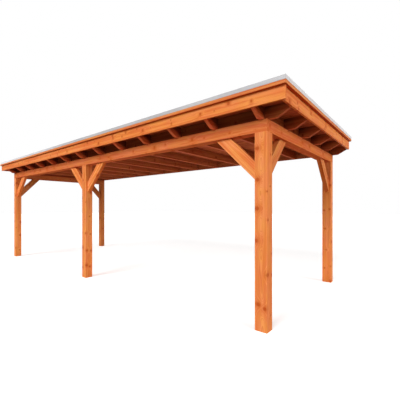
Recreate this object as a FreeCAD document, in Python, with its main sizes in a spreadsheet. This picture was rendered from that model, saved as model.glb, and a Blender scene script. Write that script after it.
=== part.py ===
# Attached patio cover: a flat-roofed timber veranda that stands against a house wall.
# Five posts carry a front beam and two side beams, stiffened by 45 degree braces.
# Thirteen joists run from a rim over the front beam back to a wall plate.
# Short planks with bevelled tails carry the roof's edge past the beams at the front and at the sides.
# Boarding, a roofing membrane, fascia boards, edge battens and aluminium trims close the roof.
# Frame: +X to the right along the front, +Y back to the wall, +Z up.
# The origin is the centre of the bounding box at floor level.
import FreeCAD, Part
import os
import re
import Sketcher

doc = FreeCAD.newDocument("attached_patio_cover")


# Driving sizes in millimetres
DRIVING_SIZES = [
    ("frame_length", 7500, "outer face to outer face of the end posts, along the front"),
    ("frame_depth", 3000, "front face of the front posts to the wall"),
    ("post_width", 145, "side of a square post"),
    ("post_length", 2240, "floor to the underside of the beams"),
    ("beam_width", 145, "width of a beam"),
    ("beam_height", 140, "height of a beam"),
    ("lap_thickness", 48, "tongue of the front beam that passes in front of a side beam"),
    ("arris", 3, "chamfer on the long edges of posts, beams and braces"),
    ("brace_width", 145, "width of a brace plank"),
    ("brace_thickness", 70, "thickness of a brace plank"),
    ("brace_leg", 540, "reach of a brace along the post and along the beam"),
    ("joist_width", 45, "thickness of a joist plank"),
    ("joist_height", 145, "height of a joist plank"),
    ("joist_bays", 12, "number of spaces between joists"),
    ("lookout_bays", 5, "number of spaces from the first lookout to the wall plate"),
    ("plate_thickness", 45, "thickness of the wall plate"),
    ("front_overhang", 237, "front post face to the outer face of the front fascia"),
    ("side_overhang", 264, "end post face to the outer face of a side fascia"),
    ("front_bevel", 145, "length of the bevel under a front tail"),
    ("side_bevel", 150, "length of the bevel under a lookout at a side"),
    ("tail_rise", 85, "height that the bevel gains at the tip of a tail"),
    ("deck_thickness", 18, "thickness of the roof boarding"),
    ("fascia_thickness", 28, "thickness of a fascia board"),
    ("fascia_height", 140, "height of a fascia board"),
    ("fascia_lift", 77, "beam top to the lower edge of the fascia"),
    ("fascia_end", 20, "front fascia past the face of a side fascia"),
    ("batten_proud", 36, "edge batten past the face of the fascia below it"),
    ("batten_height", 55, "height of an edge batten"),
    ("upstand_thickness", 28, "thickness of the upstand board at the wall"),
    ("membrane_thickness", 1.5, "thickness of the roofing membrane"),
    ("trim_thickness", 2, "wall of the aluminium trim"),
    ("trim_face", 45, "height of the front face of the trim"),
    ("trim_lip", 19, "overlap of the trim face over the batten"),
    ("trim_ridge", 10, "width of the raised ridge of the trim"),
]

sheet = doc.addObject("Spreadsheet::Sheet", "Sizes")
for row, (alias, number, meaning) in enumerate(DRIVING_SIZES, start=1):
    sheet.set(f"A{row}", alias)
    sheet.set(f"B{row}", str(number))
    sheet.set(f"C{row}", meaning)
    sheet.setAlias(f"B{row}", alias)
doc.recompute()

ALIASES = {alias for alias, number, meaning in DRIVING_SIZES}


# Lengths and levels that follow from the driving sizes, as text for the expressions
HALF_LENGTH = "frame_length / 2"
TRIM_PROUD = "batten_proud + trim_thickness"
POST_FRONT = f"(front_overhang + {TRIM_PROUD} - frame_depth) / 2"
WALL = f"{POST_FRONT} + frame_depth"
BEAM_TOP = "post_length + beam_height"
JOIST_TOP = f"{BEAM_TOP} + joist_height"
DECK_TOP = f"{JOIST_TOP} + deck_thickness"
FASCIA_BOTTOM = f"{BEAM_TOP} + fascia_lift"
FASCIA_TOP = f"{FASCIA_BOTTOM} + fascia_height"
BATTEN_TOP = f"{FASCIA_TOP} + batten_height"
ROOF_HALF = f"{HALF_LENGTH} + side_overhang"
DECK_HALF = f"{ROOF_HALF} - fascia_thickness"
ROOF_FRONT = f"{POST_FRONT} - front_overhang"
DECK_FRONT = f"{ROOF_FRONT} + fascia_thickness"
JOIST_INSET = "(post_width - joist_width) / 2"
JOIST_PITCH = "(frame_length - post_width) / joist_bays"
PLATE_FRONT = f"{WALL} - plate_thickness"
RIM_FRONT = f"{POST_FRONT} + {JOIST_INSET}"
RIM_TO_PLATE = f"frame_depth - plate_thickness - {JOIST_INSET}"
LOOKOUT_PITCH = f"({RIM_TO_PLATE}) / lookout_bays"


def formula(text):
    """Write each alias in a formula the way an expression of the document names it."""
    def full_name(word):
        return f"Sizes.{word[0]}" if word[0] in ALIASES else word[0]

    return re.sub(r"[a-z_]+", full_name, text)


def amount(text):
    """The number that a formula stands for now."""
    return float(sheet.evalExpression(formula(text)))


def count(text):
    return int(round(amount(text)))


def bind(thing, property_name, text):
    """Tie a property to a formula of the driving sizes."""
    thing.setExpression(property_name, formula(text))


def place(thing, x="0", y="0", z="0", turn=0):
    """Put a piece at x, y, z, turned about the vertical by whole degrees."""
    base = FreeCAD.Vector(amount(x), amount(y), amount(z))
    thing.Placement = FreeCAD.Placement(base, FreeCAD.Rotation(FreeCAD.Vector(0, 0, 1), turn))
    bind(thing, "Placement.Base.x", x)
    bind(thing, "Placement.Base.y", y)
    bind(thing, "Placement.Base.z", z)


def new_body(name):
    body = doc.addObject("PartDesign::Body", name)
    body.Label = name
    return body


def origin_plane(body, role):
    return next(feature for feature in body.Origin.OriginFeatures if feature.Role == role)


def hold_point(sketch, line, kind, axis, text):
    """Hold the start of a line at a distance from the origin, or on its axis where that is zero."""
    if text == "0":
        sketch.addConstraint(Sketcher.Constraint("PointOnObject", line, 1, axis))
    else:
        held = sketch.addConstraint(Sketcher.Constraint(kind, -1, 1, line, 1, amount(text)))
        sketch.setExpression(f"Constraints[{held}]", formula(text))


def add_outline(sketch, corners):
    """Draw a closed outline through corners, each a pair of formulas, and hold it by them."""
    first = sketch.GeometryCount
    points = [FreeCAD.Vector(amount(x), amount(y), 0) for x, y in corners]
    for index, point in enumerate(points):
        sketch.addGeometry(Part.LineSegment(point, points[(index + 1) % len(points)]))
    for index, (x, y) in enumerate(corners):
        line = first + index
        after = first + (index + 1) % len(corners)
        sketch.addConstraint(Sketcher.Constraint("Coincident", line, 2, after, 1))
        hold_point(sketch, line, "DistanceX", -2, x)
        hold_point(sketch, line, "DistanceY", -1, y)


def new_sketch(body, plane, outlines, lift="0"):
    """A sketch on one of the body's own origin planes, lifted off it by a formula."""
    sketch = body.newObject("Sketcher::SketchObject", f"{body.Label}_sketch")
    sketch.AttachmentSupport = (origin_plane(body, plane), [""])
    sketch.MapMode = "FlatFace"
    if lift != "0":
        offset = FreeCAD.Vector(0, 0, amount(lift))
        sketch.AttachmentOffset = FreeCAD.Placement(offset, FreeCAD.Rotation())
        bind(sketch, "AttachmentOffset.Base.z", lift)
    for corners in outlines:
        add_outline(sketch, corners)
    return sketch


def add_pad(body, plane, outlines, length, lift="0", reverse=False):
    """Pad outlines of the given plane by a length."""
    sketch = new_sketch(body, plane, outlines, lift)
    pad = body.newObject("PartDesign::Pad", f"{body.Label}_pad")
    pad.Profile = sketch
    pad.Reversed = reverse
    bind(pad, "Length", length)
    doc.recompute()
    return pad


def rectangle(x0, y0, x1, y1):
    return [(x0, y0), (x1, y0), (x1, y1), (x0, y1)]


def ease_edges(body, base, direction):
    """Chamfer the edges of a timber that run along a direction."""
    names = []
    for index, edge in enumerate(base.Shape.Edges, start=1):
        run = edge.Vertexes[-1].Point - edge.Vertexes[0].Point
        if run.Length > 0 and abs(abs(run.normalize().dot(direction)) - 1) < 1e-6:
            names.append(f"Edge{index}")
    chamfer = body.newObject("PartDesign::Chamfer", f"{body.Label}_arris")
    chamfer.Base = (base, names)
    bind(chamfer, "Size", "arris")
    doc.recompute()
    return chamfer


ALONG_X = FreeCAD.Vector(1, 0, 0)
ALONG_Y = FreeCAD.Vector(0, 1, 0)
ALONG_Z = FreeCAD.Vector(0, 0, 1)


# Posts
def make_post(name, x, y):
    body = new_body(name)
    pad = add_pad(body, "XY_Plane", [rectangle("0", "0", "post_width", "post_width")], "post_length")
    ease_edges(body, pad, ALONG_Z)
    place(body, x, y)
    return body


POST_LEFT = f"-{HALF_LENGTH}"
POST_RIGHT = f"{HALF_LENGTH} - post_width"
POST_REAR = f"{WALL} - post_width"

posts = [
    make_post("post_front_left", POST_LEFT, POST_FRONT),
    make_post("post_front_middle", "-post_width / 2", POST_FRONT),
    make_post("post_front_right", POST_RIGHT, POST_FRONT),
    make_post("post_rear_left", POST_LEFT, POST_REAR),
    make_post("post_rear_right", POST_RIGHT, POST_REAR),
]


# Beams
def make_front_beam(name):
    """One long timber, cut back at both ends so that a tongue passes in front of the side beams."""
    body = new_body(name)
    section = rectangle("0", "0", "beam_width", "beam_height")
    pad = add_pad(body, "YZ_Plane", [section], "frame_length")
    solid = ease_edges(body, pad, ALONG_X)
    before = solid.Shape.Volume
    end_cuts = [
        rectangle("0", "lap_thickness", "beam_width", "beam_width"),
        rectangle("frame_length - beam_width", "lap_thickness", "frame_length", "beam_width"),
    ]
    pocket = body.newObject("PartDesign::Pocket", f"{name}_lap")
    pocket.Profile = new_sketch(body, "XY_Plane", end_cuts)
    pocket.Type = "ThroughAll"
    pocket.Reversed = True
    doc.recompute()
    if pocket.Shape.Volume >= before:
        raise RuntimeError("the laps of the front beam cut nothing")
    place(body, f"-{HALF_LENGTH}", POST_FRONT, "post_length")
    return body


def make_side_beam(name, x):
    body = new_body(name)
    section = rectangle("0", "0", "beam_width", "beam_height")
    pad = add_pad(body, "XZ_Plane", [section], "frame_depth - lap_thickness", reverse=True)
    ease_edges(body, pad, ALONG_Y)
    place(body, x, f"{POST_FRONT} + lap_thickness", "post_length")
    return body


beams = [
    make_front_beam("front_beam"),
    make_side_beam("left_beam", f"-{HALF_LENGTH}"),
    make_side_beam("right_beam", f"{HALF_LENGTH} - beam_width"),
]


# Braces
BRACE_CUT = "brace_width * sqrt(2)"


def make_brace(name, x, y, turn):
    """A plank at 45 degrees: its foot is cut to the post's face and its head to the beam's underside."""
    body = new_body(name)
    outline = [
        ("0", "0"),
        ("brace_leg", "brace_leg"),
        (f"brace_leg - {BRACE_CUT}", "brace_leg"),
        ("0", BRACE_CUT),
    ]
    sketch = new_sketch(body, "XZ_Plane", [outline])
    pad = body.newObject("PartDesign::Pad", f"{name}_pad")
    pad.Profile = sketch
    pad.SideType = "Symmetric"
    bind(pad, "Length", "brace_thickness")
    doc.recompute()
    ease_edges(body, pad, FreeCAD.Vector(1, 0, 1).normalize())
    place(body, x, y, "post_length - brace_leg", turn)
    return body


FRONT_BRACE_LINE = f"{POST_FRONT} + post_width / 2"
LEFT_BRACE_LINE = f"-{HALF_LENGTH} + post_width / 2"
RIGHT_BRACE_LINE = f"{HALF_LENGTH} - post_width / 2"
BEHIND_FRONT_POST = f"{POST_FRONT} + post_width"

braces = [
    make_brace("brace_front_left", f"{POST_LEFT} + post_width", FRONT_BRACE_LINE, 0),
    make_brace("brace_middle_left", "-post_width / 2", FRONT_BRACE_LINE, 180),
    make_brace("brace_middle_right", "post_width / 2", FRONT_BRACE_LINE, 0),
    make_brace("brace_front_right", POST_RIGHT, FRONT_BRACE_LINE, 180),
    make_brace("brace_left_side_front", LEFT_BRACE_LINE, BEHIND_FRONT_POST, 90),
    make_brace("brace_left_side_rear", LEFT_BRACE_LINE, POST_REAR, 270),
    make_brace("brace_right_side_front", RIGHT_BRACE_LINE, BEHIND_FRONT_POST, 90),
    make_brace("brace_right_side_rear", RIGHT_BRACE_LINE, POST_REAR, 270),
]


def make_board(name, x, y, z, length, width, height):
    board = doc.addObject("Part::Box", name)
    board.Label = name
    bind(board, "Length", length)
    bind(board, "Width", width)
    bind(board, "Height", height)
    place(board, x, y, z)
    return board


# Joists, the rim that closes them over the front beam, and the wall plate
def make_joist(index):
    """A plank on edge back to the wall plate. The two outermost ones run past the ends of the rim."""
    outermost = index in (0, count("joist_bays"))
    short = "0" if outermost else "joist_width"
    return make_board(f"joist_{index + 1:02d}", f"-{HALF_LENGTH} + {JOIST_INSET} + {index} * {JOIST_PITCH}",
                      f"{RIM_FRONT} + {short}", BEAM_TOP,
                      "joist_width", f"{RIM_TO_PLATE} - {short}", "joist_height")


joists = [make_joist(index) for index in range(count("joist_bays") + 1)]

RIM_LENGTH = "frame_length - post_width - joist_width"
front_rim = make_board("front_rim", f"-({RIM_LENGTH}) / 2", RIM_FRONT, BEAM_TOP,
                       RIM_LENGTH, "joist_width", "joist_height")


def make_wall_plate(name):
    """The plank on the wall that takes the joists, with a bevelled tail at each side fascia."""
    body = new_body(name)
    length = f"2 * ({DECK_HALF})"
    outline = [
        ("0", "tail_rise"),
        ("side_bevel", "0"),
        (f"{length} - side_bevel", "0"),
        (length, "tail_rise"),
        (length, "joist_height"),
        ("0", "joist_height"),
    ]
    add_pad(body, "XZ_Plane", [outline], "plate_thickness", reverse=True)
    place(body, f"-({DECK_HALF})", PLATE_FRONT, BEAM_TOP)
    return body


wall_plate = make_wall_plate("wall_plate")


# Tails over the front beam and lookouts over the side beams
def make_tails(name, x, y, turn, length, bevel, pitch, number):
    """A row of short planks from the rim or the outermost joist out to a fascia."""
    body = new_body(name)
    outline = [
        ("0", "0"),
        (f"{length} - {bevel}", "0"),
        (length, "tail_rise"),
        (length, "joist_height"),
        ("0", "joist_height"),
    ]
    pad = add_pad(body, "XZ_Plane", [outline], "joist_width", reverse=True)
    row = body.newObject("PartDesign::LinearPattern", f"{name}_row")
    row.Originals = [pad]
    row.Direction = (origin_plane(body, "Y_Axis"), [""])
    bind(row, "Length", f"({pitch}) * ({number} - 1)")
    bind(row, "Occurrences", number)
    body.Tip = row
    doc.recompute()
    place(body, x, y, BEAM_TOP, turn)
    return body


TAIL_LENGTH = f"front_overhang - fascia_thickness + {JOIST_INSET}"
LOOKOUT_LENGTH = f"side_overhang - fascia_thickness + {JOIST_INSET}"
EDGE_JOIST_FACE = f"{HALF_LENGTH} - {JOIST_INSET}"
LAST_LOOKOUT = f"{RIM_FRONT} + ({LOOKOUT_PITCH}) * (lookout_bays - 1) + joist_width"

tails = [
    make_tails("front_tails", f"-({EDGE_JOIST_FACE})", RIM_FRONT, 270,
               TAIL_LENGTH, "front_bevel", JOIST_PITCH, "joist_bays + 1"),
    make_tails("lookouts_left", f"-({EDGE_JOIST_FACE})", LAST_LOOKOUT, 180,
               LOOKOUT_LENGTH, "side_bevel", LOOKOUT_PITCH, "lookout_bays"),
    make_tails("lookouts_right", EDGE_JOIST_FACE, RIM_FRONT, 0,
               LOOKOUT_LENGTH, "side_bevel", LOOKOUT_PITCH, "lookout_bays"),
]


# Roof boarding, the upstand board at the wall and the fascia boards
DECK_LENGTH = f"2 * ({DECK_HALF})"
DECK_WIDTH = "front_overhang - fascia_thickness + frame_depth"
UPSTAND_HEIGHT = "fascia_lift + fascia_height + batten_height - joist_height - deck_thickness"
FRONT_FASCIA_HALF = f"{ROOF_HALF} + fascia_end"

roof_boards = [
    make_board("roof_deck", f"-({DECK_HALF})", DECK_FRONT, JOIST_TOP,
               DECK_LENGTH, DECK_WIDTH, "deck_thickness"),
    make_board("wall_upstand", f"-({DECK_HALF})", f"{WALL} - upstand_thickness", DECK_TOP,
               DECK_LENGTH, "upstand_thickness", UPSTAND_HEIGHT),
]

# The front fascia runs past the side ones and covers their ends
fascias = [
    make_board("fascia_front", f"-({FRONT_FASCIA_HALF})", ROOF_FRONT, FASCIA_BOTTOM,
               f"2 * ({FRONT_FASCIA_HALF})", "fascia_thickness", "fascia_height"),
    make_board("fascia_left", f"-({ROOF_HALF})", DECK_FRONT, FASCIA_BOTTOM,
               "fascia_thickness", DECK_WIDTH, "fascia_height"),
    make_board("fascia_right", DECK_HALF, DECK_FRONT, FASCIA_BOTTOM,
               "fascia_thickness", DECK_WIDTH, "fascia_height"),
]


# Roofing membrane
BATTEN_WIDTH = "fascia_thickness + batten_proud"


def make_membrane(name):
    """A sheet on the boarding, turned up all round and lapped over the battens and the upstand."""
    body = new_body(name)
    edge = BATTEN_WIDTH
    length = f"2 * ({ROOF_HALF} + batten_proud)"
    width = "batten_proud + front_overhang + frame_depth"
    tray = (edge, edge, f"{length} - ({edge})", f"{width} - upstand_thickness")
    skin = "membrane_thickness"
    hollow = (f"{edge} + {skin}", f"{edge} + {skin}",
              f"{length} - ({edge}) - {skin}", f"{width} - upstand_thickness - {skin}")
    add_pad(body, "XY_Plane", [rectangle(*tray)], skin)
    add_pad(body, "XY_Plane", [rectangle(*tray), rectangle(*hollow)], f"{UPSTAND_HEIGHT} + {skin}")
    add_pad(body, "XY_Plane", [rectangle("0", "0", length, width), rectangle(*hollow)], skin,
            lift=UPSTAND_HEIGHT)
    place(body, f"-({ROOF_HALF} + batten_proud)", f"{ROOF_FRONT} - batten_proud", DECK_TOP)
    return body


roof_membrane = make_membrane("roof_membrane")


# Edge battens on the fascias and the trims on the battens, mitred at the front corners
def front_strip(length, inset, width):
    """Plan of a strip along the front edge, its ends mitred."""
    near = inset
    far = width if inset == "0" else f"{inset} + {width}"
    return [(near, near), (f"{length} - ({near})", near), (f"{length} - ({far})", far), (far, far)]


def side_strip(length, reach, inset, width, right):
    """Plan of a strip along a side edge, mitred at the front and square at the wall."""
    near = inset
    far = width if inset == "0" else f"{inset} + {width}"
    if right:
        outer = f"{reach} - ({near})"
        inner = "0" if far == reach else f"{reach} - ({far})"
        return [(outer, near), (outer, length), (inner, length), (inner, far)]
    return [(near, near), (far, far), (far, length), (near, length)]


def make_edge_piece(name, side, proud, reach, layers, z):
    """A mitred edge piece whose outer face stands proud of the fascia's face.

    Each layer is (inset from the outer face, width, height, lift above z)."""
    body = new_body(name)
    front_length = f"2 * ({ROOF_HALF} + {proud})"
    side_length = f"frame_depth + front_overhang + {proud}"
    for inset, width, height, lift in layers:
        if side == "front":
            outline = front_strip(front_length, inset, width)
        else:
            outline = side_strip(side_length, reach, inset, width, side == "right")
        add_pad(body, "XY_Plane", [outline], height, lift)
    x = f"-({ROOF_HALF} + {proud})"
    if side == "right":
        x = f"{ROOF_HALF} + {proud} - ({reach})"
    place(body, x, f"{ROOF_FRONT} - ({proud})", z)
    return body


TRIM_BOTTOM = f"{BATTEN_TOP} - trim_lip"
TRIM_REACH = f"trim_thickness + {BATTEN_WIDTH}"
FLANGE_LIFT = "trim_lip + membrane_thickness"
RIDGE_INSET = "trim_ridge - trim_thickness"

BATTEN_LAYERS = [("0", BATTEN_WIDTH, "batten_height", "0")]
TRIM_LAYERS = [
    ("0", "trim_thickness", "trim_face", "0"),
    ("0", "trim_ridge", "trim_thickness", "trim_face - trim_thickness"),
    (RIDGE_INSET, "trim_thickness", f"trim_face - ({FLANGE_LIFT})", FLANGE_LIFT),
    (RIDGE_INSET, f"{TRIM_REACH} - ({RIDGE_INSET})", "trim_thickness", FLANGE_LIFT),
]

edge_pieces = []
for side in ("front", "left", "right"):
    edge_pieces += [
        make_edge_piece(f"batten_{side}", side, "batten_proud", BATTEN_WIDTH, BATTEN_LAYERS, FASCIA_TOP),
        make_edge_piece(f"edge_trim_{side}", side, TRIM_PROUD, TRIM_REACH, TRIM_LAYERS, TRIM_BOTTOM),
    ]


# Check every object, then write one file for each piece
doc.recompute()
for thing in doc.Objects:
    if "Invalid" in thing.State or "Error" in thing.State:
        raise RuntimeError(f"{thing.Label} failed: {thing.State}")

pieces = posts + beams + braces + joists + [front_rim, wall_plate] + tails
pieces += roof_boards + fascias + [roof_membrane] + edge_pieces
os.makedirs("parts", exist_ok=True)
for piece in pieces:
    shape = piece.Shape
    if shape.isNull() or not shape.isValid() or shape.Volume <= 0:
        raise RuntimeError(f"{piece.Label} has no valid shape")
    shape.exportStep(f"parts/{piece.Label}.step")
    print(f"{piece.Label}: {len(shape.Solids)} solid, {shape.Volume / 1e9:.5f} cubic metres")
print(f"{len(pieces)} pieces")
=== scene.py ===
# %% [markdown]
# A timber patio cover, dressed for looks.
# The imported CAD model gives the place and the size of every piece. This script gives each piece the
# finish of the real one: planed softwood with an orange-brown stain, a black rubber roof sheet and an
# aluminium edge trim. The frame is loaded first, because all the other steps measure from it.

# %% Load the frame
import math
import random

import bmesh
import bpy
from mathutils import Matrix, Vector, noise


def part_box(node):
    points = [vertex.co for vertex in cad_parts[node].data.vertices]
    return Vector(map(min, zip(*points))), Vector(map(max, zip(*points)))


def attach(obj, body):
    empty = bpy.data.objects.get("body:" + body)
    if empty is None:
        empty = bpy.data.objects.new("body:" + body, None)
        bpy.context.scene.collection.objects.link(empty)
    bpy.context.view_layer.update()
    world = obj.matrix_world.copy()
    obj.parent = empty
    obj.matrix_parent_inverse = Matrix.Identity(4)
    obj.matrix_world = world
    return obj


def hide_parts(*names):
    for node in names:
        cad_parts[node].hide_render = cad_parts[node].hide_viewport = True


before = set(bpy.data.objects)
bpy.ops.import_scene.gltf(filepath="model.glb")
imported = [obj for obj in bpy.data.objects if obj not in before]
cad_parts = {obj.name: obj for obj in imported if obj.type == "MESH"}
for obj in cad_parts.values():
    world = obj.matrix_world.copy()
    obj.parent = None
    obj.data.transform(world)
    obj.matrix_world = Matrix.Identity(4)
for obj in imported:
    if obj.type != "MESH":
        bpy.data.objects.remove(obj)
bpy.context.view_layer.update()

# %% [markdown]
# The camera stands where the photographer stood: at eye height, to the right of the front.
# A camera can be placed by hand until the picture looks right, or worked out from edges that are known.
# Here the posts' edges gave the place, the turn and the focal length. The picture is part of a wider one,
# so its optical centre isn't in its middle, and a small lens shift stands for that.

# %% Camera
IMAGE_PX = 400
FOCAL_PX = 281.93
OPTICAL_CENTRE_PX = (169.06, 207.66)
EYE = Vector((5.0382, -4.3916, 1.3926))
TURN_LEFT = math.radians(42.199)
SENSOR_MM = 36.0
VIEW_DEPTH = 200

eye = bpy.data.objects.new("eye", bpy.data.cameras.new("eye"))
bpy.context.scene.collection.objects.link(eye)
eye.location = EYE
eye.rotation_euler = (math.radians(90), 0, TURN_LEFT)
eye.data.sensor_width = SENSOR_MM
eye.data.lens = FOCAL_PX / IMAGE_PX * SENSOR_MM
eye.data.shift_x = 0.5 - OPTICAL_CENTRE_PX[0] / IMAGE_PX
eye.data.shift_y = OPTICAL_CENTRE_PX[1] / IMAGE_PX - 0.5
eye.data.clip_end = VIEW_DEPTH
bpy.context.scene.camera = eye
print("lens", round(eye.data.lens, 2), "mm, shift", round(eye.data.shift_x, 4), round(eye.data.shift_y, 4))

# %% [markdown]
# Light for a product picture is soft and even. One wide sun stands for a large lamp in front, and a
# second one for a lamp at the right, because the end of the cover is only a little darker than its front.
# Area lamps would fall off along eight metres of roof, and suns don't. Under the roof the posts get darker
# towards their tops, so both suns stand low, at 25 and 19 degrees, and the roof's edge shades them.
# The joists would be black then. A wide lamp on the ground gives back what pale paving throws up.
# A sun's strength is divided by pi on a matt surface, so the level is written as a share of white.

# %% Lamps
def add_sun(name, towards, level, softness, tint=(1, 1, 1)):
    """A sun that shines from a direction, its level given as the share of white on a face square to it."""
    data = bpy.data.lights.new(name, "SUN")
    data.energy = level * math.pi
    data.angle = math.radians(softness)
    data.color = tint
    lamp = bpy.data.objects.new(name, data)
    bpy.context.scene.collection.objects.link(lamp)
    lamp.rotation_euler = Vector(towards).to_track_quat("Z", "Y").to_euler()


PAVING_SIZE = (7.0, 2.6)
PAVING_PLACE = (0, 0.15, 0.01)
PAVING_LEVEL = 0.88

add_sun("key_sun", towards=(0, -0.906, 0.423), level=0.80, softness=30)
add_sun("right_sun", towards=(0.94, -0.10, 0.32), level=0.62, softness=36, tint=(1, 0.95, 0.92))
paving_data = bpy.data.lights.new("paving_light", "AREA")
paving_data.shape = "RECTANGLE"
paving_data.size, paving_data.size_y = PAVING_SIZE
paving_data.energy = PAVING_LEVEL * math.pi * PAVING_SIZE[0] * PAVING_SIZE[1]
paving = bpy.data.objects.new("paving_light", paving_data)
bpy.context.scene.collection.objects.link(paving)
paving.location = PAVING_PLACE
paving.rotation_euler = (math.pi, 0, 0)
paving.visible_camera = False
paving.visible_glossy = False
print("two suns and a lamp of", PAVING_SIZE, "m under the roof")

# %% [markdown]
# The background and the finishes are node trees. A few helpers keep them short: place a node, feed its
# inputs with a number or with another node's output, and hand back an output. Each later step then reads
# as a sum. An effect that several finishes share is a group with named sockets.

# %% Helpers for node trees
NOISE_ROUGHNESS = 0.55


class Bench:
    """Places nodes in one tree and wires them."""

    def __init__(self, tree):
        self.tree = tree

    def feed(self, socket, value):
        if isinstance(value, bpy.types.NodeSocket):
            self.tree.links.new(value, socket)
        else:
            socket.default_value = value

    def node(self, kind, inputs=(), **settings):
        made = self.tree.nodes.new(kind)
        for label, value in settings.items():
            setattr(made, label, value)
        for label, value in dict(inputs).items():
            self.feed(made.inputs[label], value)
        return made

    def math(self, operation, *values):
        made = self.node("ShaderNodeMath", operation=operation)
        for socket, value in zip(made.inputs, values):
            self.feed(socket, value)
        return made.outputs[0]

    def hypot(self, x, y):
        return self.math("SQRT", self.math("ADD", self.math("MULTIPLY", x, x), self.math("MULTIPLY", y, y)))

    def weighted(self, start, *parts):
        """The start value and each part times its weight, added up."""
        total = start
        for part, weight in parts:
            total = self.math("ADD", total, self.math("MULTIPLY", part, weight))
        return total

    def smooth(self, value, low, high, to_low=0.0, to_high=1.0):
        """A smooth step from low to high."""
        made = self.node("ShaderNodeMapRange", interpolation_type="SMOOTHSTEP")
        for label, number in (("Value", value), ("From Min", low), ("From Max", high),
                              ("To Min", to_low), ("To Max", to_high)):
            self.feed(made.inputs[label], number)
        return made.outputs["Result"]

    def mix(self, share, first, second, blend="MIX"):
        made = self.node("ShaderNodeMix", data_type="RGBA", blend_type=blend)
        for index, value in ((0, share), (6, first), (7, second)):
            self.feed(made.inputs[index], value)
        return made.outputs[2]

    def vector(self, operation, first, second):
        made = self.node("ShaderNodeVectorMath", operation=operation)
        self.feed(made.inputs[0], first)
        self.feed(made.inputs[1], second)
        return made.outputs[0]

    def noise(self, place, waves, detail=2.0, output="Fac"):
        """A noise with so many waves to the metre along each axis."""
        made = self.node("ShaderNodeTexNoise", {"Vector": self.vector("MULTIPLY", place, waves), "Scale": 1.0,
                                                "Detail": detail, "Roughness": NOISE_ROUGHNESS})
        return made.outputs[output]

    def noise_line(self, value, waves, detail):
        """A noise over one number."""
        made = self.node("ShaderNodeTexNoise", {"W": self.math("MULTIPLY", value, waves), "Scale": 1.0,
                                                "Detail": detail}, noise_dimensions="1D")
        return made.outputs["Fac"]


def new_group(name, inputs, outputs):
    """A shader node group with named sockets, and a bench inside it."""
    tree = bpy.data.node_groups.new(name, "ShaderNodeTree")
    for label, kind, value in inputs:
        socket = tree.interface.new_socket(name=label, in_out="INPUT", socket_type=kind)
        if value is not None:
            socket.default_value = value
    for label, kind in outputs:
        tree.interface.new_socket(name=label, in_out="OUTPUT", socket_type=kind)
    entry = tree.nodes.new("NodeGroupInput").outputs
    leave = tree.nodes.new("NodeGroupOutput").inputs
    print("group", name, "gives", ", ".join(label for label, kind in outputs))
    return tree, Bench(tree), entry, leave


def new_material(name):
    """A material, a bench inside it and the inputs of its shader."""
    material = bpy.data.materials.new(name)
    material.use_nodes = True
    return material, Bench(material.node_tree), material.node_tree.nodes["Principled BSDF"].inputs


def dress(b, shader, colour, roughness, satin, height, relief, depth):
    """Feed the shader. The height is in shares of the depth, and relief is how much of it shows."""
    bump = b.node("ShaderNodeBump", {"Height": height, "Strength": relief, "Distance": depth})
    for label, value in (("Base Color", colour), ("Roughness", roughness), ("Specular IOR Level", satin),
                         ("Normal", bump.outputs["Normal"])):
        b.feed(shader[label], value)


# %% [markdown]
# The background is plain white. What the camera and the reflections see is white by colour, through the
# Light Path node, and what lights the object is a softer grey. The floor is pale and keeps the shadow.
# A low lamp leaves a floor grey, so the floor also gives off a little white, to the same rays only.

# %% Surroundings
WHITE = (1, 1, 1, 1)
SKY_LEVEL = 0.26
FLOOR_SIZE = 120.0
FLOOR_BOUNCE = (0.40, 0.30, 0.22, 1)
FLOOR_LIFT = 0.46


def seen_directly(b):
    """A value that is 1 for rays from the camera, reflections and glass."""
    path = b.node("ShaderNodeLightPath").outputs
    seen = b.math("MAXIMUM", path["Is Camera Ray"], path["Is Glossy Ray"])
    return b.math("MAXIMUM", seen, path["Is Transmission Ray"])


world = bpy.data.worlds.new("white_room")
world.use_nodes = True
bpy.context.scene.world = world
b = Bench(world.node_tree)
sky = world.node_tree.nodes["Background"].inputs
sky["Color"].default_value = WHITE
level = b.node("ShaderNodeMapRange", {"Value": seen_directly(b), "To Min": SKY_LEVEL})
b.feed(sky["Strength"], level.outputs["Result"])

floor_paint, b, paint = new_material("pale_floor")
seen = seen_directly(b)
b.feed(paint["Base Color"], b.mix(seen, FLOOR_BOUNCE, WHITE))
paint["Roughness"].default_value = 1.0
paint["Specular IOR Level"].default_value = 0.0
paint["Emission Color"].default_value = WHITE
b.feed(paint["Emission Strength"], b.math("MULTIPLY", seen, FLOOR_LIFT))

floor_mesh = bpy.data.meshes.new("floor")
half = FLOOR_SIZE / 2
corners = [(-half, -half, 0), (half, -half, 0), (half, half, 0), (-half, half, 0)]
floor_mesh.from_pydata(corners, [], [(0, 1, 2, 3)])
floor = bpy.data.objects.new("floor", floor_mesh)
floor_mesh.materials.append(floor_paint)
bpy.context.scene.collection.objects.link(floor)
bpy.context.scene.view_settings.view_transform = "Standard"
print("floor", FLOOR_SIZE, "m wide")

# %% [markdown]
# Branch knots. In a log a branch starts at the heart and runs straight out, so every board that is cut
# across it shows a knot, larger the further out it is. Painted dots would sit on one face only.
# Here the knots live in the log: a Voronoi pattern over the turn about the heart and the height in the
# tree gives each branch its place, and a knot is what lies near it.

# %% Group: branch knots
BRANCHES_PER_TURN = 5.0
WHORL_GAP = 0.36
KNOT_AT_HEART = 0.006
KNOT_GROWTH = 0.11
SCATTER = 0.6
SIZE_SPREAD = (0.5, 1.5)
KNOT_EDGE = (0.35, 1.05)
HALO_EDGE = (0.9, 2.3)
PUSH_REACH = 2.4
WOBBLE_WAVES = (90, 90, 90)
WOBBLE = 0.006
VECTOR, NUMBER = "NodeSocketVector", "NodeSocketFloat"

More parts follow.
